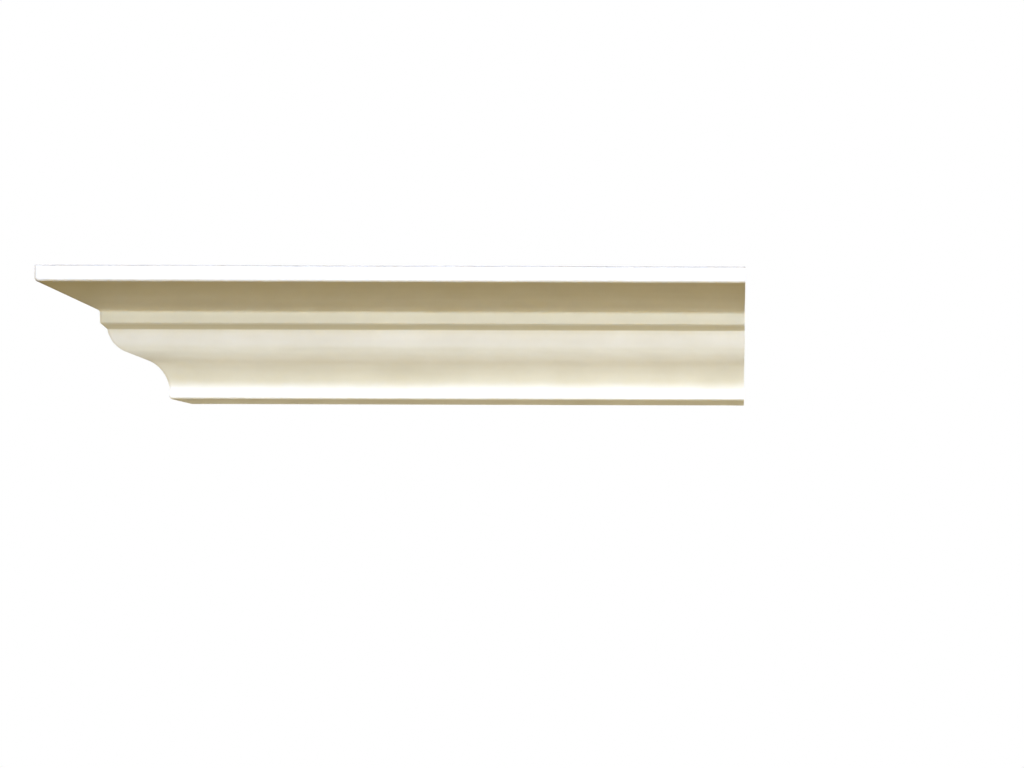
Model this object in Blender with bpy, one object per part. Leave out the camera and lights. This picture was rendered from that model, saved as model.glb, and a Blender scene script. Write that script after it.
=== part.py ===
"""A length of crown moulding: a sprung cornice section run along X, mitred at its left end and square at its right.

The wall is the plane y = 0 and the room is towards -Y. The origin is the middle of the face that bears on the wall.
"""

import math

import bmesh
import bpy
from mathutils import Vector

# Sizes in metres, angles in degrees. A projection is measured away from the wall, and a height is measured upwards.

# The cut length, from the square end to the tip of the mitre, along the front of the fascia.
LENGTH = 0.523
MITRE_ANGLE = 45.0

# The face, from the bottom up.
UNDERSIDE_DEPTH = 0.0175
UNDERSIDE_SLOPE = 8.0
LOWER_FILLET_HEIGHT = 0.0055
COVE_RADIUS = 0.0221
OVOLO_RADIUS = 0.0191
OGEE_PROJECTION = 0.0455
OGEE_SLOPE = 16.0
OGEE_TOP_ANGLE = 81.0
QUIRK_PROJECTION = 0.0054
QUIRK_SLOPE = 37.0
MIDDLE_FILLET_HEIGHT = 0.0089
SOFFIT_PROJECTION = 0.0476
SOFFIT_SLOPE = 20.0
FASCIA_HEIGHT = 0.0117

# The back: a land that bears on the wall, a land that bears on the ceiling, and a flat that runs slantwise between them.
WALL_LAND_HEIGHT = 0.024
CEILING_LAND_DEPTH = 0.030

# How far each edge or inner corner is rounded.
SHARP_EASE = 0.0008
ARRIS_EASE = 0.0012
LOWER_ARRIS_EASE = 0.0020
FASCIA_FOOT_EASE = 0.0030
SOFFIT_CORNER_EASE = 0.0020
QUIRK_CORNER_EASE = 0.0010

# How finely curves are cut into flats.
ARC_STEP = 4.0
EASE_STEP = 18.0
# A rounding stops short of the middle of the flats that it joins, so that two of them never meet.
EASE_SHARE = 0.48

# The mitre's cutter stands this far past the section all round.
CUTTER_MARGIN = 0.020

PRIMER_COLOUR = (0.80, 0.75, 0.62, 1.0)
PRIMER_ROUGHNESS = 0.45


def clear_scene():
    for old in list(bpy.data.objects):
        bpy.data.objects.remove(old, do_unlink=True)


def make_collection(name):
    collection = bpy.data.collections.new(name)
    bpy.context.scene.collection.children.link(collection)
    return collection


def make_primer():
    material = bpy.data.materials.new("factory primer")
    material.use_nodes = True
    shader = material.node_tree.nodes["Principled BSDF"]
    shader.inputs["Base Color"].default_value = PRIMER_COLOUR
    shader.inputs["Roughness"].default_value = PRIMER_ROUGHNESS
    shader.inputs["Metallic"].default_value = 0.0
    return material


def slope_direction(degrees):
    """The way out from the wall and up, at this angle to the level."""
    angle = math.radians(degrees)
    return Vector((math.cos(angle), math.sin(angle)))


def arc_points(centre, radius, start, end):
    """Points round a centre from one angle to another, in degrees, both ends included."""
    steps = max(2, math.ceil(abs(end - start) / ARC_STEP))
    return [centre + radius * slope_direction(start + (end - start) * i / steps) for i in range(steps + 1)]


def ogee_points(foot):
    """The hollow cove, the short slope and the swelling ovolo above it, each running smoothly into the next."""
    cove_centre = foot + Vector((COVE_RADIUS, 0.0))
    cove = arc_points(cove_centre, COVE_RADIUS, 180.0, 90.0 + OGEE_SLOPE)
    ovolo_start = -90.0 + OGEE_SLOPE
    ovolo_end = -90.0 + OGEE_TOP_ANGLE
    ovolo_reach = OVOLO_RADIUS * (slope_direction(ovolo_end).x - slope_direction(ovolo_start).x)
    slope_reach = OGEE_PROJECTION - (cove[-1].x - foot.x) - ovolo_reach
    slope = slope_direction(OGEE_SLOPE)
    slope_top = cove[-1] + slope * (slope_reach / slope.x)
    ovolo_centre = slope_top - OVOLO_RADIUS * slope_direction(ovolo_start)
    return cove + arc_points(ovolo_centre, OVOLO_RADIUS, ovolo_start, ovolo_end)


def rise(projection, degrees):
    return Vector((projection, projection * math.tan(math.radians(degrees))))


def section_corners():
    """The section's corners with their roundings, anticlockwise from the foot of the wall land."""
    lower_arris = rise(UNDERSIDE_DEPTH, UNDERSIDE_SLOPE)
    ogee = ogee_points(lower_arris + Vector((0.0, LOWER_FILLET_HEIGHT)))
    quirk_top = ogee[-1] + rise(QUIRK_PROJECTION, QUIRK_SLOPE)
    soffit_foot = quirk_top + Vector((0.0, MIDDLE_FILLET_HEIGHT))
    fascia_foot = soffit_foot + rise(SOFFIT_PROJECTION, SOFFIT_SLOPE)
    fascia_top = fascia_foot + Vector((0.0, FASCIA_HEIGHT))
    corners = [
        (Vector((0.0, 0.0)), SHARP_EASE),
        (lower_arris, LOWER_ARRIS_EASE),
    ]
    corners += [(point, 0.0) for point in ogee[:-1]]
    corners += [
        (ogee[-1], QUIRK_CORNER_EASE),
        (quirk_top, ARRIS_EASE),
        (soffit_foot, SOFFIT_CORNER_EASE),
        (fascia_foot, FASCIA_FOOT_EASE),
        (fascia_top, ARRIS_EASE),
        (fascia_top - Vector((CEILING_LAND_DEPTH, 0.0)), SHARP_EASE),
        (Vector((0.0, WALL_LAND_HEIGHT)), SHARP_EASE),
    ]
    return corners


def eased(before, corner, after, ease):
    """The points that round one corner between its two neighbours."""
    back = before - corner
    onward = after - corner
    turn = math.pi - back.angle(onward)
    longest = EASE_SHARE * min(back.length, onward.length)
    run = min(ease * math.tan(turn / 2), longest)
    radius = run / math.tan(turn / 2)
    towards_centre = (back.normalized() + onward.normalized()).normalized()
    centre = corner + towards_centre * (radius / math.cos(turn / 2))
    start = corner + back.normalized() * run - centre
    end = corner + onward.normalized() * run - centre
    steps = max(2, math.ceil(math.degrees(turn) / EASE_STEP))
    points = []
    for i in range(steps + 1):
        share = i / steps
        weight = math.sin(turn)
        mixed = start * (math.sin((1 - share) * turn) / weight) + end * (math.sin(share * turn) / weight)
        points.append(centre + mixed)
    return points


def section_outline(corners):
    outline = []
    for i, (corner, ease) in enumerate(corners):
        if ease > 0.0:
            before = corners[i - 1][0]
            after = corners[(i + 1) % len(corners)][0]
            outline += eased(before, corner, after, ease)
        else:
            outline.append(corner)
    return outline


def run_section(name, outline, length, centre, collection):
    """The outline as a filled curve that runs along X, made a welded mesh. Across the outline, -Y is out from the wall."""
    curve = bpy.data.curves.new(name + " outline", "CURVE")
    curve.dimensions = "2D"
    curve.fill_mode = "BOTH"
    curve.extrude = length / 2
    spline = curve.splines.new("POLY")
    spline.points.add(len(outline) - 1)
    for point, place in zip(spline.points, outline):
        point.co = (-place.x, place.y, 0.0, 1.0)
    spline.use_cyclic_u = True
    guide = bpy.data.objects.new(name + " outline", curve)
    collection.objects.link(guide)
    guide.location = centre
    guide.rotation_euler = (math.radians(90.0), 0.0, math.radians(90.0))
    bpy.context.view_layer.update()
    graph = bpy.context.evaluated_depsgraph_get()
    mesh = bpy.data.meshes.new_from_object(guide.evaluated_get(graph))
    mesh.name = name
    piece = bpy.data.objects.new(name, mesh)
    piece.matrix_world = guide.matrix_world
    collection.objects.link(piece)
    bpy.data.objects.remove(guide, do_unlink=True)
    welded = bmesh.new()
    welded.from_mesh(mesh)
    bmesh.ops.remove_doubles(welded, verts=welded.verts, dist=0.00001)
    bmesh.ops.recalc_face_normals(welded, faces=welded.faces)
    welded.to_mesh(mesh)
    welded.free()
    return piece


def cut_mitre(piece, corner, projection, height, collection):
    """Saws the left end off on a plane that stands upright and runs out and left from the corner."""
    angle = math.radians(MITRE_ANGLE)
    waste_side = Vector((-math.cos(angle), math.sin(angle), 0.0))
    side = 2 * (projection / math.cos(angle) + height + CUTTER_MARGIN)
    bpy.ops.mesh.primitive_cube_add(size=side, location=corner + waste_side * (side / 2))
    cutter = bpy.context.object
    cutter.name = "mitre saw cut"
    cutter.rotation_euler = (0.0, 0.0, -angle)
    cutter.hide_render = True
    cutter.display_type = "WIRE"
    for holder in list(cutter.users_collection):
        holder.objects.unlink(cutter)
    collection.objects.link(cutter)
    cut = piece.modifiers.new("mitre", "BOOLEAN")
    cut.operation = "DIFFERENCE"
    cut.solver = "EXACT"
    cut.object = cutter


def main():
    clear_scene()
    part_collection = make_collection("crown moulding")
    cutter_collection = make_collection("cutters")
    corners = section_corners()
    projection = max(corner.x for corner, ease in corners)
    height = max(corner.y for corner, ease in corners)
    wall_length = LENGTH - projection * math.tan(math.radians(MITRE_ANGLE))
    square_end = wall_length / 2
    drop = WALL_LAND_HEIGHT / 2
    centre = Vector((square_end - LENGTH / 2, 0.0, -drop))
    moulding = run_section("crown_moulding_length", section_outline(corners), LENGTH, centre, part_collection)
    mitre_corner = Vector((-wall_length / 2, 0.0, height / 2 - drop))
    cut_mitre(moulding, mitre_corner, projection, height, cutter_collection)
    moulding.data.materials.append(make_primer())
    moulding.data.shade_smooth()
    moulding.data.set_sharp_from_angle(angle=math.radians(30.0))


main()
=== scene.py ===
# %% [markdown]
# # A length of crown moulding
# Crown moulding trims the corner where a wall meets the ceiling. This one is a sprung section: a fascia at the top, a
# sloping soffit under it, a small fillet, and an ogee that swells and then hollows down to a fillet on the wall.
# Its left end is mitred for an outside corner and its right end is sawn square.
#
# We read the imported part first. It fixes the size and the place of everything that follows.

# %% Read the frame
import math

import bpy
from mathutils import Matrix, Vector


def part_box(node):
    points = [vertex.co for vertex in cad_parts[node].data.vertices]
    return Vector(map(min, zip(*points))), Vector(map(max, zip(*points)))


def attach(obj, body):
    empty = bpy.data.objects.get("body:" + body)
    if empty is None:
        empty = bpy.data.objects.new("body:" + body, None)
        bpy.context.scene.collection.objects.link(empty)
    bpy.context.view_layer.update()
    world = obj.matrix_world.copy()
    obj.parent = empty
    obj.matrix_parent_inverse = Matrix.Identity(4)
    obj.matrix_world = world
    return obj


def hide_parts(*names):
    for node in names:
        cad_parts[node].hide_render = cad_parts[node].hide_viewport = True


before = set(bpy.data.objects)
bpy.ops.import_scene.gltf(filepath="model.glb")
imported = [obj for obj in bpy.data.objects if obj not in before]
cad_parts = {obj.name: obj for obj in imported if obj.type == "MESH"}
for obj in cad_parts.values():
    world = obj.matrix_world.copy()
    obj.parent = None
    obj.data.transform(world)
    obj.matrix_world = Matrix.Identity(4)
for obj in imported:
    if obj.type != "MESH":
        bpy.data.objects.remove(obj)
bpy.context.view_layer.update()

NODE = "crown_moulding_length"
low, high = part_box(NODE)
print("the part is", [round(1000 * side, 1) for side in high - low], "mm")

# %% [markdown]
# ## The camera
# The photograph looks straight at the front from a little below, through a long lens: the lines of the moulding stay
# parallel and its square end stays upright. Neither the angle nor the distance can be read from it. Six degrees and
# twenty metres are choices that fit. The picture also leans by a sixth of a degree, so that every line falls slightly
# to the right.

# %% Place the camera
PICTURE_WIDTH = 1024
METRES_PER_PIXEL = 0.000735
CAMERA_DISTANCE = 20.0
CAMERA_RISE = math.radians(6.0)
CAMERA_LEAN = math.radians(0.166)
# The point in the middle of the picture, on the plane of the fascia.
AIM = Vector((0.0321, low.y, -0.0083))

camera_data = bpy.data.cameras.new("long lens")
camera_data.lens = camera_data.sensor_width * CAMERA_DISTANCE / METRES_PER_PIXEL / PICTURE_WIDTH
camera = bpy.data.objects.new("long lens", camera_data)
bpy.context.scene.collection.objects.link(camera)
turned = Matrix.Rotation(math.radians(90.0) + CAMERA_RISE, 4, "X") @ Matrix.Rotation(CAMERA_LEAN, 4, "Z")
look = Vector((0.0, math.cos(CAMERA_RISE), math.sin(CAMERA_RISE)))
camera.matrix_world = Matrix.Translation(AIM - look * CAMERA_DISTANCE) @ turned
bpy.context.scene.camera = camera
print("lens", round(camera_data.lens, 1), "mm")

# %% [markdown]
# ## The section, drawn like a chain
# A moulding is one outline pushed along a straight line. The outline could be typed in as points, but here it is drawn
# as a joiner draws it: straight runs are extruded from a single point, and the two arcs of the ogee are spun. Heights
# are measured from the foot of the moulding and projections from the wall.

# %% Start at the foot of the wall
WALL_LAND_HEIGHT = 0.024
FOOT = -WALL_LAND_HEIGHT / 2
LENGTH = high.x - low.x
# The side of the plane that is merged into the chain's first point.
SEED_SIDE = 0.01


def deselect_everything():
    for thing in list(bpy.context.selected_objects):
        thing.select_set(False)


deselect_everything()
bpy.ops.mesh.primitive_plane_add(size=SEED_SIDE, location=(low.x, 0.0, FOOT))
moulding = bpy.context.object
moulding.name = "moulding"
moulding.data.name = "moulding"
bpy.ops.object.transform_apply(location=True, rotation=True, scale=True)
bpy.ops.object.mode_set(mode="EDIT")
bpy.ops.mesh.select_all(action="SELECT")
bpy.ops.mesh.merge(type="CENTER")
print("the foot is", round(-1000 * FOOT, 1), "mm below the middle of the wall land")

# %% Draw the underside, the lower fillet and the ogee
UNDERSIDE_DEPTH = 0.0175
UNDERSIDE_SLOPE = math.radians(8.0)
LOWER_FILLET_HEIGHT = 0.0055
COVE_RADIUS = 0.0221
OVOLO_RADIUS = 0.0191
OGEE_PROJECTION = 0.0455
OGEE_SLOPE = math.radians(16.0)
OGEE_TOP_ANGLE = math.radians(81.0)
STEPS_PER_ARC = 32
LONGEST_STEP = 0.005

corners = {"wall foot": Vector((0.0, 0.0))}


def tip():
    """Where the chain ends: at the corner that was named last."""
    return list(corners.values())[-1]


def run(name, out, up):
    """Extrudes the tip straight out from the wall and up, in steps of five millimetres at most."""
    steps = math.ceil(math.hypot(out, up) / LONGEST_STEP)
    for _ in range(steps):
        bpy.ops.mesh.extrude_region_move(TRANSFORM_OT_translate={"value": (0.0, -out / steps, up / steps)})
    corners[name] = tip() + Vector((out, up))


def swing(name, centre, angle):
    """Spins the tip round a centre. Without a window, a positive angle turns it from outwards to upwards."""
    world_centre = (low.x, -centre.x, FOOT + centre.y)
    bpy.ops.mesh.spin(steps=STEPS_PER_ARC, angle=angle, center=world_centre, axis=(1.0, 0.0, 0.0))
    arm = tip() - centre
    arm.rotate(Matrix.Rotation(angle, 2))
    corners[name] = centre + arm


run("lower arris", UNDERSIDE_DEPTH, UNDERSIDE_DEPTH * math.tan(UNDERSIDE_SLOPE))
run("cove foot", 0.0, LOWER_FILLET_HEIGHT)
swing("cove top", tip() + Vector((COVE_RADIUS, 0.0)), OGEE_SLOPE - math.radians(90.0))
ovolo_out = OVOLO_RADIUS * (math.sin(OGEE_TOP_ANGLE) - math.sin(OGEE_SLOPE))
slope_out = UNDERSIDE_DEPTH + OGEE_PROJECTION - tip().x - ovolo_out
run("ovolo foot", slope_out, slope_out * math.tan(OGEE_SLOPE))
ovolo_centre = tip() + OVOLO_RADIUS * Vector((-math.sin(OGEE_SLOPE), math.cos(OGEE_SLOPE)))
swing("quirk foot", ovolo_centre, OGEE_TOP_ANGLE - OGEE_SLOPE)
print("the ogee ends", round(1000 * tip().x, 2), "mm out and", round(1000 * tip().y, 2), "mm up")

# %% Draw the fillet, the soffit and the fascia, then the back
QUIRK_PROJECTION = 0.0054
QUIRK_SLOPE = math.radians(37.0)
MIDDLE_FILLET_HEIGHT = 0.0089
SOFFIT_PROJECTION = 0.0476
SOFFIT_SLOPE = math.radians(20.0)
FASCIA_HEIGHT = 0.0117
CEILING_LAND_DEPTH = 0.030

run("quirk top", QUIRK_PROJECTION, QUIRK_PROJECTION * math.tan(QUIRK_SLOPE))
run("soffit foot", 0.0, MIDDLE_FILLET_HEIGHT)
run("fascia foot", SOFFIT_PROJECTION, SOFFIT_PROJECTION * math.tan(SOFFIT_SLOPE))
run("fascia top", 0.0, FASCIA_HEIGHT)
run("ceiling land", -CEILING_LAND_DEPTH, 0.0)
run("wall land", -tip().x, WALL_LAND_HEIGHT - tip().y)
# The last run ends at the corner where the chain began, and closes the outline.
run("wall foot", 0.0, -WALL_LAND_HEIGHT)
crest = corners["fascia top"]
print("the section is", round(1000 * crest.x, 2), "mm deep and", round(1000 * crest.y, 2), "mm high")

# %% [markdown]
# ## From the outline to a solid
# The chain's two ends are merged and it is filled, then pushed along X. Every long edge is then eased, because a
# moulded edge is never knife sharp: most of all where the fascia and the foot turn under, and in the inner corner.

# %% Close, fill and extrude
NEAR = 0.00002

bpy.context.tool_settings.mesh_select_mode = (True, False, False)
bpy.ops.mesh.select_all(action="SELECT")
bpy.ops.mesh.remove_doubles(threshold=NEAR)
bpy.ops.mesh.edge_face_add()
bpy.ops.mesh.extrude_region_move(TRANSFORM_OT_translate={"value": (LENGTH, 0.0, 0.0)})
bpy.ops.mesh.select_all(action="SELECT")
bpy.ops.mesh.normals_make_consistent(inside=False)
bpy.ops.object.mode_set(mode="OBJECT")
print(len(moulding.data.polygons), "faces")

# %% Ease the long edges
# The radius of each corner's rounding, and how many flats it is cut into.
EASES = {
    "wall foot": (0.0012, 4),
    "lower arris": (0.0020, 8),
    "quirk foot": (0.0010, 5),
    "quirk top": (0.0012, 5),
    "soffit foot": (0.0020, 8),
    "fascia foot": (0.0030, 8),
    "fascia top": (0.0012, 6),
    "ceiling land": (0.0012, 4),
    "wall land": (0.0012, 4),
}
ring = list(corners)


def unselect(*kinds):
    for kind in kinds:
        kind.foreach_set("select", [False] * len(kind))


def select_long_edge(name):
    """Selects the points that lie at one corner of the section, at both ends of the length."""
    bpy.ops.object.mode_set(mode="OBJECT")
    unselect(moulding.data.vertices, moulding.data.edges, moulding.data.polygons)
    for point in moulding.data.vertices:
        place = Vector((-point.co.y, point.co.z - FOOT))
        point.select = (place - corners[name]).length < NEAR
    bpy.ops.object.mode_set(mode="EDIT")


def turn_at(name):
    """How far the outline turns at a corner. The ovolo reaches the quirk on a curve, at its last angle."""
    index = ring.index(name)
    here = corners[name]
    before = here - corners[ring[index - 1]]
    after = corners[ring[(index + 1) % len(ring)]] - here
    if name == "quirk foot":
        before = Vector((math.cos(OGEE_TOP_ANGLE), math.sin(OGEE_TOP_ANGLE)))
    return abs(before.angle(after))


for name, (radius, segments) in EASES.items():
    select_long_edge(name)
    setback = radius * math.tan(turn_at(name) / 2)
    bpy.ops.mesh.bevel(offset=setback, segments=segments, affect="EDGES", clamp_overlap=True)
bpy.ops.object.mode_set(mode="OBJECT")
print(len(moulding.data.polygons), "faces after easing")

# %% [markdown]
# ## The two cuts
# The left end is sawn at 45 degrees for an outside corner, so the long point of the mitre is the front of the fascia.
# A bisect does what the saw does, and fills the cut with one flat face.

# %% Saw the mitre
MITRE = math.radians(45.0)
mitre_corner = Vector((low.x + (high.y - low.y) * math.tan(MITRE), 0.0, FOOT))
waste_side = Vector((-math.cos(MITRE), math.sin(MITRE), 0.0))
bpy.ops.object.mode_set(mode="EDIT")
bpy.ops.mesh.select_all(action="SELECT")
bpy.ops.mesh.bisect(plane_co=mitre_corner, plane_no=waste_side, use_fill=True, clear_outer=True)
bpy.ops.object.mode_set(mode="OBJECT")
print(len(moulding.data.polygons), "faces after the mitre")

# %% [markdown]
# ## A net of small faces
# The outline already has a point at least every five millimetres. Now every long edge is cut across, about every three
# millimetres, so that the surface can later be made as slightly uneven as a real casting.

# %% Cut the length across
CROSSWISE_STEP = 0.003
LONG_EDGE = 0.300

bpy.context.tool_settings.mesh_select_mode = (False, True, False)
points = moulding.data.vertices
unselect(points, moulding.data.polygons)
for edge in moulding.data.edges:
    edge.select = (points[edge.vertices[1]].co - points[edge.vertices[0]].co).length > LONG_EDGE
bpy.ops.object.mode_set(mode="EDIT")
bpy.ops.mesh.subdivide(number_cuts=round(LENGTH / CROSSWISE_STEP))
bpy.ops.object.mode_set(mode="OBJECT")
print(len(moulding.data.polygons), "faces in the net")

# %% [markdown]
# ## The sawn ends
# A saw leaves a hard edge, and the fitter takes it off with a stroke of sandpaper. Behind the paint, moulded foam has a
# dense skin over a lighter core, and the cut shows both. The edge is bevelled, and an inset keeps the skin's own ring.

# %% Sand the edges of the cuts, and ring them with the skin
SANDED = 0.0003
SKIN_THICKNESS = 0.0005
# A face looks a given way when its normal's share along that way is over this.
END_ON = 0.99
FINISHES = {name: index for index, name in enumerate(["primer", "skin", "sawn skin", "sawn core"])}
for name in FINISHES:
    moulding.data.materials.append(bpy.data.materials.new(name))


def select_faces(test):
    """Selects the faces that pass a test, and gives how many there are."""
    bpy.ops.object.mode_set(mode="OBJECT")
    unselect(moulding.data.vertices, moulding.data.edges)
    count = 0
    for face in moulding.data.polygons:
        face.select = test(face)
        count += face.select
    bpy.ops.object.mode_set(mode="EDIT")
    bpy.context.tool_settings.mesh_select_mode = (False, False, True)
    return count


def on_cut_end(face):
    return face.normal.dot(waste_side) > END_ON or face.normal.x > END_ON


def finish_selected(name):
    moulding.active_material_index = FINISHES[name]
    bpy.ops.object.material_slot_assign()


print(select_faces(on_cut_end), "cut faces")
bpy.ops.mesh.region_to_loop()
bpy.ops.mesh.bevel(offset=SANDED, segments=2, affect="EDGES", clamp_overlap=True)
# Of the faces that look the cuts' way, only the cuts themselves have more than four corners.
select_faces(lambda face: on_cut_end(face) and len(face.vertices) > 4)
finish_selected("sawn skin")
bpy.ops.mesh.inset(thickness=SKIN_THICKNESS, use_even_offset=True)
finish_selected("sawn core")

# %% Leave the back unpainted
BACK_NORMALS = {
    "wall": Vector((0.0, 1.0, 0.0)),
    "ceiling": Vector((0.0, 0.0, 1.0)),
    "slant": Vector((0.0, crest.y - WALL_LAND_HEIGHT, crest.x - CEILING_LAND_DEPTH)).normalized(),
}
back = select_faces(lambda face: any(face.normal.dot(way) > END_ON for way in BACK_NORMALS.values()))
finish_selected("skin")
bpy.ops.object.mode_set(mode="OBJECT")
print(back, "faces on the back")

# %% [markdown]
# ## The slight unevenness of a casting
# Foam shrinks a little as it sets, so a moulded face is never quite flat. The points are moved inwards by up to about
# a tenth of a millimetre, by a soft cloud pattern, and less and less towards the cuts, which a saw leaves flat. A
# displace modifier, once applied, works on the real points, so the mesh itself has the unevenness too.

# %% Make the faces slightly uneven
SHRINKAGE = 0.00012
SHRINKAGE_PATCH = 0.060
FLAT_NEAR_CUT = 0.015

settled = moulding.vertex_groups.new(name="away from the cuts")
for point in moulding.data.vertices:
    to_mitre = (mitre_corner - point.co).dot(waste_side)
    to_square = high.x - point.co.x
    share = min(to_mitre, to_square, FLAT_NEAR_CUT) / FLAT_NEAR_CUT
    settled.add([point.index], max(share, 0.0), "REPLACE")
cloud = bpy.data.textures.new("shrinkage", "CLOUDS")
cloud.noise_scale = SHRINKAGE_PATCH
deselect_everything()
moulding.select_set(True)
bpy.context.view_layer.objects.active = moulding
uneven = moulding.modifiers.new("shrinkage", "DISPLACE")
uneven.texture = cloud
uneven.vertex_group = settled.name
uneven.strength = SHRINKAGE
uneven.mid_level = 1.0
bpy.ops.object.modifier_apply(modifier=uneven.name)
print(len(moulding.data.vertices), "points moved inwards by up to", round(1000 * SHRINKAGE, 2), "mm")

# %% Shade it smooth
SMOOTH_BELOW = math.radians(30.0)
bpy.ops.object.shade_smooth_by_angle(angle=SMOOTH_BELOW)
weighted = moulding.modifiers.new("flats stay flat", "WEIGHTED_NORMAL")
weighted.keep_sharp = True
bpy.ops.object.modifier_apply(modifier=weighted.name)
print(len(moulding.data.polygons), "faces,", len(moulding.data.vertices), "points")

# %% [markdown]
# ## Helpers for the finishes
# The finishes' colours are written as the hex values of a paint card and turned to linear light once. The lights'
# colours, further on, are linear already. Every pattern's scale is worked out from a real size in millimetres. One
# small function adds a node, sets it and feeds it.

# %% Turn a colour to linear, and add a node
# A Mix node's colour sockets share their names with its others, so they are reached by number.
MIX_A, MIX_B, MIX_RESULT = 6, 7, 2
# Most values of a noise lie between these.
NOISE_LOW = 0.3
NOISE_HIGH = 0.7


def linear(hex_colour):
    """Turns an sRGB hex value to linear light, by the curve of the sRGB standard."""
    shares = [int(hex_colour[i:i + 2], 16) / 255 for i in (1, 3, 5)]
    return [s / 12.92 if s <= 0.04045 else ((s + 0.055) / 1.055) ** 2.4 for s in shares] + [1.0]


def per_metre(millimetres):
    """How many times a pattern of this size repeats in a metre."""
    return 1000.0 / millimetres


def add_node(tree, kind, settings, feeds):
    """Adds a node. Settings are its own values. Each input is linked to a socket or set to a value."""
    made = tree.nodes.new(kind)
    for name, value in settings.items():
        setattr(made, name, value)
    for name, value in feeds.items():
        if isinstance(value, bpy.types.NodeSocket):
            tree.links.new(value, made.inputs[name])
        else:
            made.inputs[name].default_value = value
    return made


def start_finish(slot_name, real_name):
    """Gives a slot's material its real name, and returns its tree, its shader and the place on the object."""
    material = moulding.data.materials[FINISHES[slot_name]]
    material.name = real_name
    material.use_nodes = True
    tree = material.node_tree
    place = add_node(tree, "ShaderNodeTexCoord", {}, {})
    return tree, tree.nodes["Principled BSDF"], place.outputs["Object"]


print("a middle grey, #808080, is", round(linear("#808080")[0], 3), "in linear light")

# %% [markdown]
# ## Primer, sprayed on moulded polyurethane
# A gun lays the primer down in long passes, so its tone changes a little along the moulding and from one pass to the
# next. The dry film is a soft satin cream with a very fine orange peel and the odd speck of dust. Both are really
# about half a millimetre across. The peel is drawn at 1.4 mm and the specks at up to 1 mm, so that they still show.

# %% Finish the face with primer
PRIMER_DARK = linear("#EDE9DD")
PRIMER_LIGHT = linear("#F6F3EA")
PATCH_MM = 38.0
PASS_LENGTH_MM = 420.0
PASS_HEIGHT_MM = 16.0
PEEL_MM = 1.4
PEEL_DEPTH = 0.000012
SPECK_MM = 22.0
SPECK_RADIUS = 0.022
SPECK_DEPTH = 0.00006
PRIMER_ROUGHNESS = (0.42, 0.54)
# Most sums of the two noises lie between these.
SUM_LOW = 0.75
SUM_HIGH = 1.25

tree, shader, place = start_finish("primer", "primer sprayed on moulded polyurethane")
patches = add_node(tree, "ShaderNodeTexNoise", {}, {
    "Vector": place, "Scale": per_metre(PATCH_MM), "Detail": 3.0})
pass_scale = (per_metre(PASS_LENGTH_MM), per_metre(PASS_HEIGHT_MM), per_metre(PASS_HEIGHT_MM))
stretched = add_node(tree, "ShaderNodeMapping", {}, {"Vector": place, "Scale": pass_scale})
passes = add_node(tree, "ShaderNodeTexNoise", {}, {
    "Vector": stretched.outputs[0], "Scale": 1.0, "Detail": 2.0})
both = add_node(tree, "ShaderNodeMath", {"operation": "ADD"}, {
    0: patches.outputs["Fac"], 1: passes.outputs["Fac"]})
tone = add_node(tree, "ShaderNodeMapRange", {}, {
    "Value": both.outputs[0], "From Min": SUM_LOW, "From Max": SUM_HIGH})
paint = add_node(tree, "ShaderNodeMix", {"data_type": "RGBA"}, {
    0: tone.outputs[0], MIX_A: PRIMER_DARK, MIX_B: PRIMER_LIGHT})
peel = add_node(tree, "ShaderNodeTexNoise", {}, {"Vector": place, "Scale": per_metre(PEEL_MM), "Detail": 2.0})
gloss = add_node(tree, "ShaderNodeMapRange", {}, {
    "Value": patches.outputs["Fac"], "From Min": NOISE_LOW, "From Max": NOISE_HIGH,
    "To Min": PRIMER_ROUGHNESS[0], "To Max": PRIMER_ROUGHNESS[1]})
spots = add_node(tree, "ShaderNodeTexVoronoi", {}, {"Vector": place, "Scale": per_metre(SPECK_MM)})
specks = add_node(tree, "ShaderNodeMapRange", {}, {
    "Value": spots.outputs["Distance"], "From Max": SPECK_RADIUS, "To Min": 1.0, "To Max": 0.0})
skin = add_node(tree, "ShaderNodeBump", {}, {"Height": peel.outputs["Fac"], "Distance": PEEL_DEPTH})
dusty = add_node(tree, "ShaderNodeBump", {}, {
    "Height": specks.outputs[0], "Distance": SPECK_DEPTH, "Normal": skin.outputs[0]})
tree.links.new(gloss.outputs[0], shader.inputs["Roughness"])
tree.links.new(dusty.outputs[0], shader.inputs["Normal"])
print(len(tree.nodes), "nodes for the primer")

# %% [markdown]
# ## Painted shade in the quirk, and a grey line along the edges
# The quirk, the narrow slant between the fillet and the ogee, is painted a darker, yellower cream than the rest of the
# primer: painted shade in the recess. A thin grey line is painted along the top edge of the fascia and the long point
# of the mitre, and is fainter down the rest of the mitre. Each mask reads how far a point is from the feature, so it is
# the same from every side, and a patchy noise keeps the lines from being even.

# %% Paint shade into the quirk, and a grey line along the edges
# Painted shade: the quirk's recess is coloured a darker, yellower cream than the primer around it.
QUIRK_PAINTED_SHADE = linear("#E1DAC2")
# A thin grey line painted along the fascia's top edge and the mitre's long point.
EDGE_LINE_GREY = linear("#C1B6A2")
QUIRK_SHADE_FADE = 0.0009
EDGE_LINE_FULL_AT = 0.0008
EDGE_LINE_GONE_AT = 0.0015
EDGE_LINE_PATCH_MM = 30.0
EDGE_LINE_LEAST = 0.75
# Down the mitre the grey line fades to this share, between these two distances back from the long point.
EDGE_LINE_LEFT_BELOW = 0.25
FADE_START = 0.002
FADE_END = 0.012

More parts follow.
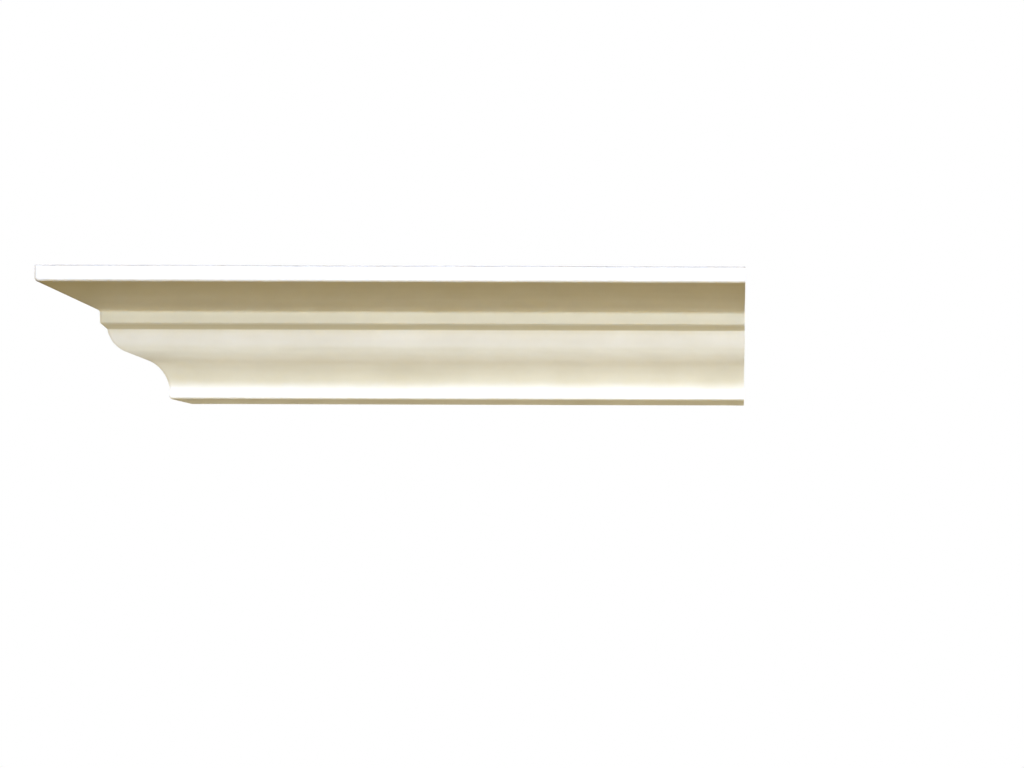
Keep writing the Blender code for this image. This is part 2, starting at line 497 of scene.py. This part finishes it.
quirk_low = FOOT + corners["quirk foot"].y
quirk_high = FOOT + corners["quirk top"].y
mitre_reach = mitre_corner.dot(waste_side)
split = add_node(tree, "ShaderNodeSeparateXYZ", {}, {"Vector": place})
up = split.outputs["Z"]
to_mitre = add_node(tree, "ShaderNodeVectorMath", {"operation": "DOT_PRODUCT"}, {0: place, 1: waste_side})
mask_ranges = {
    "above the quirk's foot": (up, quirk_low - QUIRK_SHADE_FADE, quirk_low + QUIRK_SHADE_FADE),
    "below the quirk's top": (up, quirk_high, quirk_high - 2 * QUIRK_SHADE_FADE),
    "at the mitre": (to_mitre.outputs["Value"], mitre_reach - EDGE_LINE_GONE_AT, mitre_reach - EDGE_LINE_FULL_AT),
    "at the top": (up, high.z - EDGE_LINE_GONE_AT, high.z - EDGE_LINE_FULL_AT),
    "away from the long point": (split.outputs["Y"], low.y + FADE_START, low.y + FADE_END),
}
masks = {}
for name, (value, none_at, full_at) in mask_ranges.items():
    masks[name] = add_node(tree, "ShaderNodeMapRange", {"interpolation_type": "SMOOTHSTEP"}, {
        "Value": value, "From Min": none_at, "From Max": full_at}).outputs[0]

in_quirk = add_node(tree, "ShaderNodeMath", {"operation": "MULTIPLY"}, {
    0: masks["above the quirk's foot"], 1: masks["below the quirk's top"]})
# The painted shade of the quirk is mixed in between its two masks.
quirk_shaded = add_node(tree, "ShaderNodeMix", {"data_type": "RGBA"}, {
    0: in_quirk.outputs[0], MIX_A: paint.outputs[MIX_RESULT], MIX_B: QUIRK_PAINTED_SHADE})
fainter = add_node(tree, "ShaderNodeMapRange", {}, {
    "Value": masks["away from the long point"], "To Min": 1.0, "To Max": EDGE_LINE_LEFT_BELOW})
down_mitre = add_node(tree, "ShaderNodeMath", {"operation": "MULTIPLY"}, {
    0: masks["at the mitre"], 1: fainter.outputs[0]})
edges = add_node(tree, "ShaderNodeMath", {"operation": "MAXIMUM"}, {
    0: down_mitre.outputs[0], 1: masks["at the top"]})
edge_line_noise = add_node(tree, "ShaderNodeTexNoise", {}, {
    "Vector": place, "Scale": per_metre(EDGE_LINE_PATCH_MM), "Detail": 4.0})
patchy = add_node(tree, "ShaderNodeMapRange", {}, {
    "Value": edge_line_noise.outputs["Fac"], "From Min": 0.35, "From Max": 0.6, "To Min": EDGE_LINE_LEAST, "To Max": 1.0})
edge_line_share = add_node(tree, "ShaderNodeMath", {"operation": "MULTIPLY"}, {
    0: edges.outputs[0], 1: patchy.outputs[0]})
# The grey line is painted over the primer along the edges.
edge_lined = add_node(tree, "ShaderNodeMix", {"data_type": "RGBA"}, {
    0: edge_line_share.outputs[0], MIX_A: quirk_shaded.outputs[MIX_RESULT], MIX_B: EDGE_LINE_GREY})
tree.links.new(edge_lined.outputs[MIX_RESULT], shader.inputs["Base Color"])
print("the quirk runs from", round(1000 * quirk_low, 1), "to", round(1000 * quirk_high, 1), "mm")

# %% [markdown]
# ## The bare skin on the back
# Against the mould the foam sets into a dense, slightly waxy skin. It is straw coloured and mottled where the foam
# flowed, with a few pinholes left by air. They are really about half a millimetre wide. They are drawn up to almost
# two millimetres wide, so that they show, and each is painted with shade that is darkest in the middle. Some primer
# drifts round from the front as overspray and fades out over about a centimetre, on the ceiling land behind the fascia
# and on the wall land above the foot.

# %% Finish the back with the moulded skin
SKIN_DARK = linear("#DDD6BF")
SKIN_LIGHT = linear("#E8E2CF")
OVERSPRAY = linear("#F1EDDF")
# Painted shade at the middle of each pinhole.
PINHOLE_PAINTED_SHADE = linear("#A89C7C")
FLOW_MM = 22.0
FLOW_LENGTH_MM = 40.0
PINHOLE_MM = 15.0
PINHOLE_RADIUS = 0.06
PINHOLE_DEPTH = 0.0004
OVERSPRAY_START = 0.002
OVERSPRAY_END = 0.013
OVERSPRAY_WANDER = 0.008
SKIN_ROUGHNESS = (0.34, 0.52)

tree, shader, place = start_finish("skin", "moulded polyurethane skin")
flow_scale = (per_metre(FLOW_LENGTH_MM), per_metre(FLOW_MM), per_metre(FLOW_MM))
drawn_out = add_node(tree, "ShaderNodeMapping", {}, {"Vector": place, "Scale": flow_scale})
flow = add_node(tree, "ShaderNodeTexNoise", {}, {
    "Vector": drawn_out.outputs[0], "Scale": 1.0, "Detail": 4.0, "Distortion": 1.2})
mottle = add_node(tree, "ShaderNodeMapRange", {}, {
    "Value": flow.outputs["Fac"], "From Min": NOISE_LOW, "From Max": NOISE_HIGH})
bare = add_node(tree, "ShaderNodeMix", {"data_type": "RGBA"}, {
    0: mottle.outputs[0], MIX_A: SKIN_DARK, MIX_B: SKIN_LIGHT})
split = add_node(tree, "ShaderNodeSeparateXYZ", {}, {"Vector": place})
wander = add_node(tree, "ShaderNodeMath", {"operation": "MULTIPLY_ADD"}, {
    0: flow.outputs["Fac"], 1: OVERSPRAY_WANDER, 2: -OVERSPRAY_WANDER / 2})
behind = add_node(tree, "ShaderNodeMath", {"operation": "ADD"}, {0: split.outputs["Y"], 1: wander.outputs[0]})
above = add_node(tree, "ShaderNodeMath", {"operation": "ADD"}, {0: split.outputs["Z"], 1: wander.outputs[0]})
fades = [
    add_node(tree, "ShaderNodeMapRange", {"interpolation_type": "SMOOTHSTEP"}, {
        "Value": distance.outputs[0], "From Min": edge + OVERSPRAY_START, "From Max": edge + OVERSPRAY_END,
        "To Min": 1.0, "To Max": 0.0})
    for distance, edge in ((behind, low.y), (above, FOOT))
]
spray = add_node(tree, "ShaderNodeMath", {"operation": "MAXIMUM"}, {
    0: fades[0].outputs[0], 1: fades[1].outputs[0]})
covered = add_node(tree, "ShaderNodeMix", {"data_type": "RGBA"}, {
    0: spray.outputs[0], MIX_A: bare.outputs[MIX_RESULT], MIX_B: OVERSPRAY})
wax = add_node(tree, "ShaderNodeMapRange", {}, {
    "Value": flow.outputs["Fac"], "From Min": NOISE_LOW, "From Max": NOISE_HIGH,
    "To Min": SKIN_ROUGHNESS[0], "To Max": SKIN_ROUGHNESS[1]})
air = add_node(tree, "ShaderNodeTexVoronoi", {}, {"Vector": place, "Scale": per_metre(PINHOLE_MM)})
pinholes = add_node(tree, "ShaderNodeMapRange", {}, {
    "Value": air.outputs["Distance"], "From Max": PINHOLE_RADIUS})
# Each pinhole is painted darker towards its middle: painted shade in the hole.
pierced = add_node(tree, "ShaderNodeMix", {"data_type": "RGBA"}, {
    0: pinholes.outputs[0], MIX_A: PINHOLE_PAINTED_SHADE, MIX_B: covered.outputs[MIX_RESULT]})
pitted = add_node(tree, "ShaderNodeBump", {}, {"Height": pinholes.outputs[0], "Distance": PINHOLE_DEPTH})
tree.links.new(pierced.outputs[MIX_RESULT], shader.inputs["Base Color"])
tree.links.new(wax.outputs[0], shader.inputs["Roughness"])
tree.links.new(pitted.outputs[0], shader.inputs["Normal"])
print(len(tree.nodes), "nodes for the skin")

# %% [markdown]
# ## Sawn foam
# The cut shows the foam's inside: a pale straw core full of fine bubbles that the saw has opened, inside a ring of
# denser skin, where they are half as large and hardly show. The hollow of each opened bubble is painted darker than its
# wall, as painted shade. The blade leaves faint curved marks. Real bubbles in the core are about a quarter of a
# millimetre across. All are drawn four times as large, so that they show.

# %% Finish the sawn core and its skin
FOAM_WALL = linear("#EFE8D2")
# The hollows of the opened bubbles are painted darker than their walls: painted shade.
FOAM_HOLLOW_PAINTED_SHADE = linear("#D5C9A3")
# The dense skin's straw, used as the painted shade in the hollows of its smaller bubbles.
DENSE_FOAM_HOLLOW_SHADE = linear("#E4DABC")
BUBBLE_MM = 1.0
BUBBLE_DEPTH = 0.00015
BUBBLE_ROUGHNESS = (0.85, 0.65)
SAW_MARK_MM = 2.6
SAW_MARK_DEPTH = 0.00004
BLADE_CENTRE = (0.0, 0.180, 0.140)
# A wave texture at scale 1 repeats after this length.
WAVE_LENGTH = math.pi / 10


def finish_sawn(slot_name, real_name, hollow, wall, bubble_mm):
    """Opened bubbles of one size, whose hollows are painted darker than their walls as shade, under the blade's marks.
    """
    tree, shader, place = start_finish(slot_name, real_name)
    cells = add_node(tree, "ShaderNodeTexVoronoi", {"feature": "SMOOTH_F1"}, {
        "Vector": place, "Scale": per_metre(bubble_mm), "Smoothness": 0.3})
    rims = add_node(tree, "ShaderNodeMapRange", {}, {
        "Value": cells.outputs["Distance"], "From Min": 0.1, "From Max": 0.55})
    # Painted shade: each opened bubble's hollow is coloured darker than its wall.
    foam = add_node(tree, "ShaderNodeMix", {"data_type": "RGBA"}, {
        0: rims.outputs[0], MIX_A: hollow, MIX_B: wall})
    turned = add_node(tree, "ShaderNodeMapping", {}, {"Vector": place, "Location": BLADE_CENTRE})
    marks = add_node(tree, "ShaderNodeTexWave", {"wave_type": "RINGS", "rings_direction": "X"}, {
        "Vector": turned.outputs[0], "Scale": per_metre(SAW_MARK_MM) * WAVE_LENGTH, "Distortion": 1.5})
    opened = add_node(tree, "ShaderNodeBump", {}, {"Height": rims.outputs[0], "Distance": BUBBLE_DEPTH})
    sawn = add_node(tree, "ShaderNodeBump", {}, {
        "Height": marks.outputs["Fac"], "Distance": SAW_MARK_DEPTH, "Normal": opened.outputs[0]})
    dull = add_node(tree, "ShaderNodeMapRange", {}, {
        "Value": rims.outputs[0], "To Min": BUBBLE_ROUGHNESS[0], "To Max": BUBBLE_ROUGHNESS[1]})
    tree.links.new(foam.outputs[MIX_RESULT], shader.inputs["Base Color"])
    tree.links.new(dull.outputs[0], shader.inputs["Roughness"])
    tree.links.new(sawn.outputs[0], shader.inputs["Normal"])


finish_sawn("sawn core", "sawn polyurethane foam", FOAM_HOLLOW_PAINTED_SHADE, FOAM_WALL, BUBBLE_MM)
finish_sawn("sawn skin", "sawn edge of the dense skin", DENSE_FOAM_HOLLOW_SHADE, FOAM_WALL, BUBBLE_MM / 2)
print("finishes:", [material.name for material in moulding.data.materials])

# %% Hand the piece to the frame
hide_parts(NODE)
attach(moulding, "root")

# %% [markdown]
# ## The studio
# The photograph shows the moulding against nothing but white. Here it hangs high over a plain pale floor, high enough
# to be looked at from far below, as such a moulding mostly is. The paper glows evenly, so that it is equally pale from
# every side, and it is left out of the bounced light, so that each lamp's share stays known.

# %% Lay the floor
FLOOR_DEPTH = 22.0
FLOOR_SIDE = 80.0
FLOOR_COLOUR = linear("#F0EFEC")

deselect_everything()
bpy.ops.mesh.primitive_plane_add(size=FLOOR_SIDE, location=(0.0, 0.0, -FLOOR_DEPTH))
floor = bpy.context.object
floor.name = "floor"
floor.visible_diffuse = False
floor.visible_glossy = False
paper = bpy.data.materials.new("matt studio paper")
paper.use_nodes = True
tree = paper.node_tree
glow = add_node(tree, "ShaderNodeEmission", {}, {"Color": FLOOR_COLOUR})
tree.links.new(glow.outputs[0], tree.nodes["Material Output"].inputs["Surface"])
floor.data.materials.append(paper)
print("the floor is", FLOOR_DEPTH, "m down")

# %% [markdown]
# ## Light from the surroundings
# The camera sees plain white behind the moulding, and the floor's own tone below the horizon, so that the floor seems
# to run on. What lights the moulding is different: a weak neutral sky behind it, for the sides that the photograph
# doesn't show. A Light Path node keeps the two apart.

# %% Set the surroundings
SKY_COLOUR = (0.55, 0.55, 0.53, 1.0)
# Ranges of a direction's Y or Z, each from where a share is none to where it is full.
SKY_FROM_BEHIND = (0.1, 0.5)
SKY_FROM_ABOVE = (-0.3, 0.1)
HORIZON = (-0.15, -0.05)
WHITE = (1.0, 1.0, 1.0, 1.0)

world = bpy.data.worlds.new("studio")
bpy.context.scene.world = world
world.use_nodes = True
tree = world.node_tree
towards = add_node(tree, "ShaderNodeTexCoord", {}, {})
parts = add_node(tree, "ShaderNodeSeparateXYZ", {}, {0: towards.outputs["Generated"]})
shares = [
    add_node(tree, "ShaderNodeMapRange", {"interpolation_type": "SMOOTHSTEP"}, {
        "Value": parts.outputs[axis], "From Min": none_at, "From Max": full_at})
    for axis, (none_at, full_at) in (("Y", SKY_FROM_BEHIND), ("Z", SKY_FROM_ABOVE), ("Z", HORIZON))
]
share = add_node(tree, "ShaderNodeMath", {"operation": "MULTIPLY"}, {
    0: shares[0].outputs[0], 1: shares[1].outputs[0]})
sky = add_node(tree, "ShaderNodeBackground", {}, {"Color": SKY_COLOUR, "Strength": share.outputs[0]})
room_tone = add_node(tree, "ShaderNodeMix", {"data_type": "RGBA"}, {
    0: shares[2].outputs[0], MIX_A: FLOOR_COLOUR, MIX_B: WHITE})
room = add_node(tree, "ShaderNodeBackground", {}, {"Color": room_tone.outputs[MIX_RESULT]})
path = add_node(tree, "ShaderNodeLightPath", {}, {})
seen = add_node(tree, "ShaderNodeMixShader", {}, {
    0: path.outputs["Is Camera Ray"], 1: sky.outputs[0], 2: room.outputs[0]})
tree.links.new(seen.outputs[0], tree.nodes["World Output"].inputs["Surface"])
print(len(tree.nodes), "nodes for the surroundings")

# %% [markdown]
# ## The soft boxes
# The photograph has cool light from above, which whitens the fascia and the foot, and warm light from below, as a
# wooden floor throws back, which alone reaches the soffit. Two cool soft boxes and a warm low one do the same. The
# high one stands to the left, so that no light slips in under the soffit at the sawn end. Three warm white ones stand
# behind and beside the ends, just out of sight of the face, for the sides that the photograph doesn't show.

# %% Place the soft boxes
BOX_DISTANCE = 3.0
MIDDLE = (low + high) / 2
# Each box's angles round from the front and up, in degrees, its width and height, its watts, and its linear colour.
SOFT_BOXES = {
    "high soft box": (-12.0, 34.0, 2.4, 0.5, 131.0, (0.57, 0.665, 1.0)),
    "front soft box": (18.0, 12.0, 2.4, 0.5, 55.0, (0.67, 0.83, 1.0)),
    "low warm soft box": (18.0, -25.0, 2.4, 0.5, 36.5, (1.0, 0.69, 0.14)),
    "back soft box": (200.0, 35.0, 2.4, 1.2, 50.0, (1.0, 0.93, 0.80)),
    "right end soft box": (102.0, 10.0, 1.0, 1.0, 26.0, (1.0, 0.97, 0.92)),
    "left end soft box": (258.0, 10.0, 1.0, 1.0, 24.0, (1.0, 0.97, 0.92)),
}


def lamp(name, place, aim, width, height, watts, colour):
    data = bpy.data.lights.new(name, "AREA")
    data.shape = "RECTANGLE"
    data.size = width
    data.size_y = height
    data.energy = watts
    data.color = colour
    made = bpy.data.objects.new(name, data)
    bpy.context.scene.collection.objects.link(made)
    made.location = place
    made.rotation_euler = (aim - place).to_track_quat("-Z", "Y").to_euler()
    made.visible_camera = False


def soft_box(name, azimuth, elevation, width, height, watts, colour):
    """Places a box by its angle round from the front and its angle up, so that it faces the moulding."""
    turn = math.radians(azimuth)
    up = math.radians(elevation)
    away = Vector((math.sin(turn) * math.cos(up), -math.cos(turn) * math.cos(up), math.sin(up)))
    lamp(name, MIDDLE + away * BOX_DISTANCE, MIDDLE, width, height, watts, colour)


for name, settings in SOFT_BOXES.items():
    soft_box(name, *settings)
print(len(SOFT_BOXES), "soft boxes")

# %% [markdown]
# ## The strips
# Two thin strips of light stand where white cards would be held close to the moulding. One is in front of the hollow
# of the ogee and aims at the slope that faces down. The other is under the foot and aims at the underside. Both run on
# past the ends, so that the light doesn't fall off there.

# %% Place the strips
STRIP_OVERRUN = 0.2
STRIP_LENGTH = LENGTH + 2 * STRIP_OVERRUN
# Each strip's place and its aim, both out from the wall and up from the foot, its width, watts and linear colour.
STRIPS = {
    "strip in front of the ogee": (0.060, 0.016, 0.040, 0.032, 0.014, 0.071, (0.80, 0.89, 1.0)),
    "strip under the foot": (0.003, -0.025, 0.011, 0.0, 0.008, 0.063, (1.0, 0.97, 0.81)),
}


def strip(name, out, up, aim_out, aim_up, width, watts, colour):
    place = Vector((MIDDLE.x, -out, FOOT + up))
    aim = Vector((MIDDLE.x, -aim_out, FOOT + aim_up))
    lamp(name, place, aim, STRIP_LENGTH, width, watts, colour)


for name, settings in STRIPS.items():
    strip(name, *settings)
print(len(STRIPS), "strips of", round(STRIP_LENGTH, 3), "m")

# %% [markdown]
# ## The view
# The photograph's fascia and foot are burnt out to a flat white. A filmic view would roll them off softly and grey the
# cream. The Standard view clips them as the photograph does, and leaves the other colours as they are.

# %% Keep the colours as they are
bpy.context.scene.view_settings.view_transform = "Standard"
